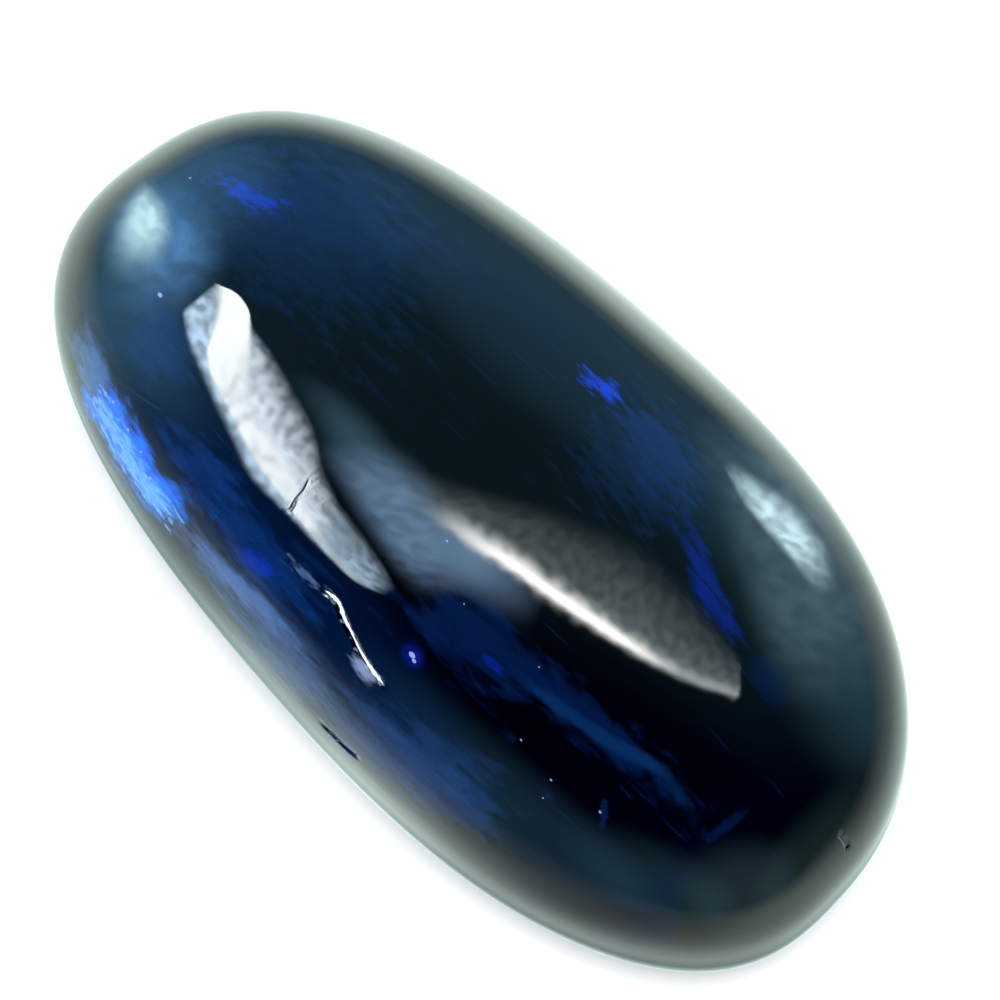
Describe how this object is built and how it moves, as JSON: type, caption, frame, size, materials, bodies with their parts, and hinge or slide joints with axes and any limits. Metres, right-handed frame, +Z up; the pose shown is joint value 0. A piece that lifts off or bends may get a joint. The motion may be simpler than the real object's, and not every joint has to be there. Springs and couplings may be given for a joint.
{
  "type": "kyanite cabochon",
  "caption": "Polished long oval cabochon of dark blue, see-through kyanite with a high rounded dome, a rounded underside and a flat base to rest on.",
  "frame": {"origin": "on the plane of the flat base, under the middle of the stone's outer box", "axes": "+X along the stone's length, towards its fuller end; +Y across its width; +Z up through the top of the dome"},
  "size_m": [0.016, 0.0082, 0.0052],
  "materials": {
    "kyanite": "polished"
  },
  "bodies": {
    "root": {"kyanite_cabochon": "kyanite"}
  },
  "joints": []
}
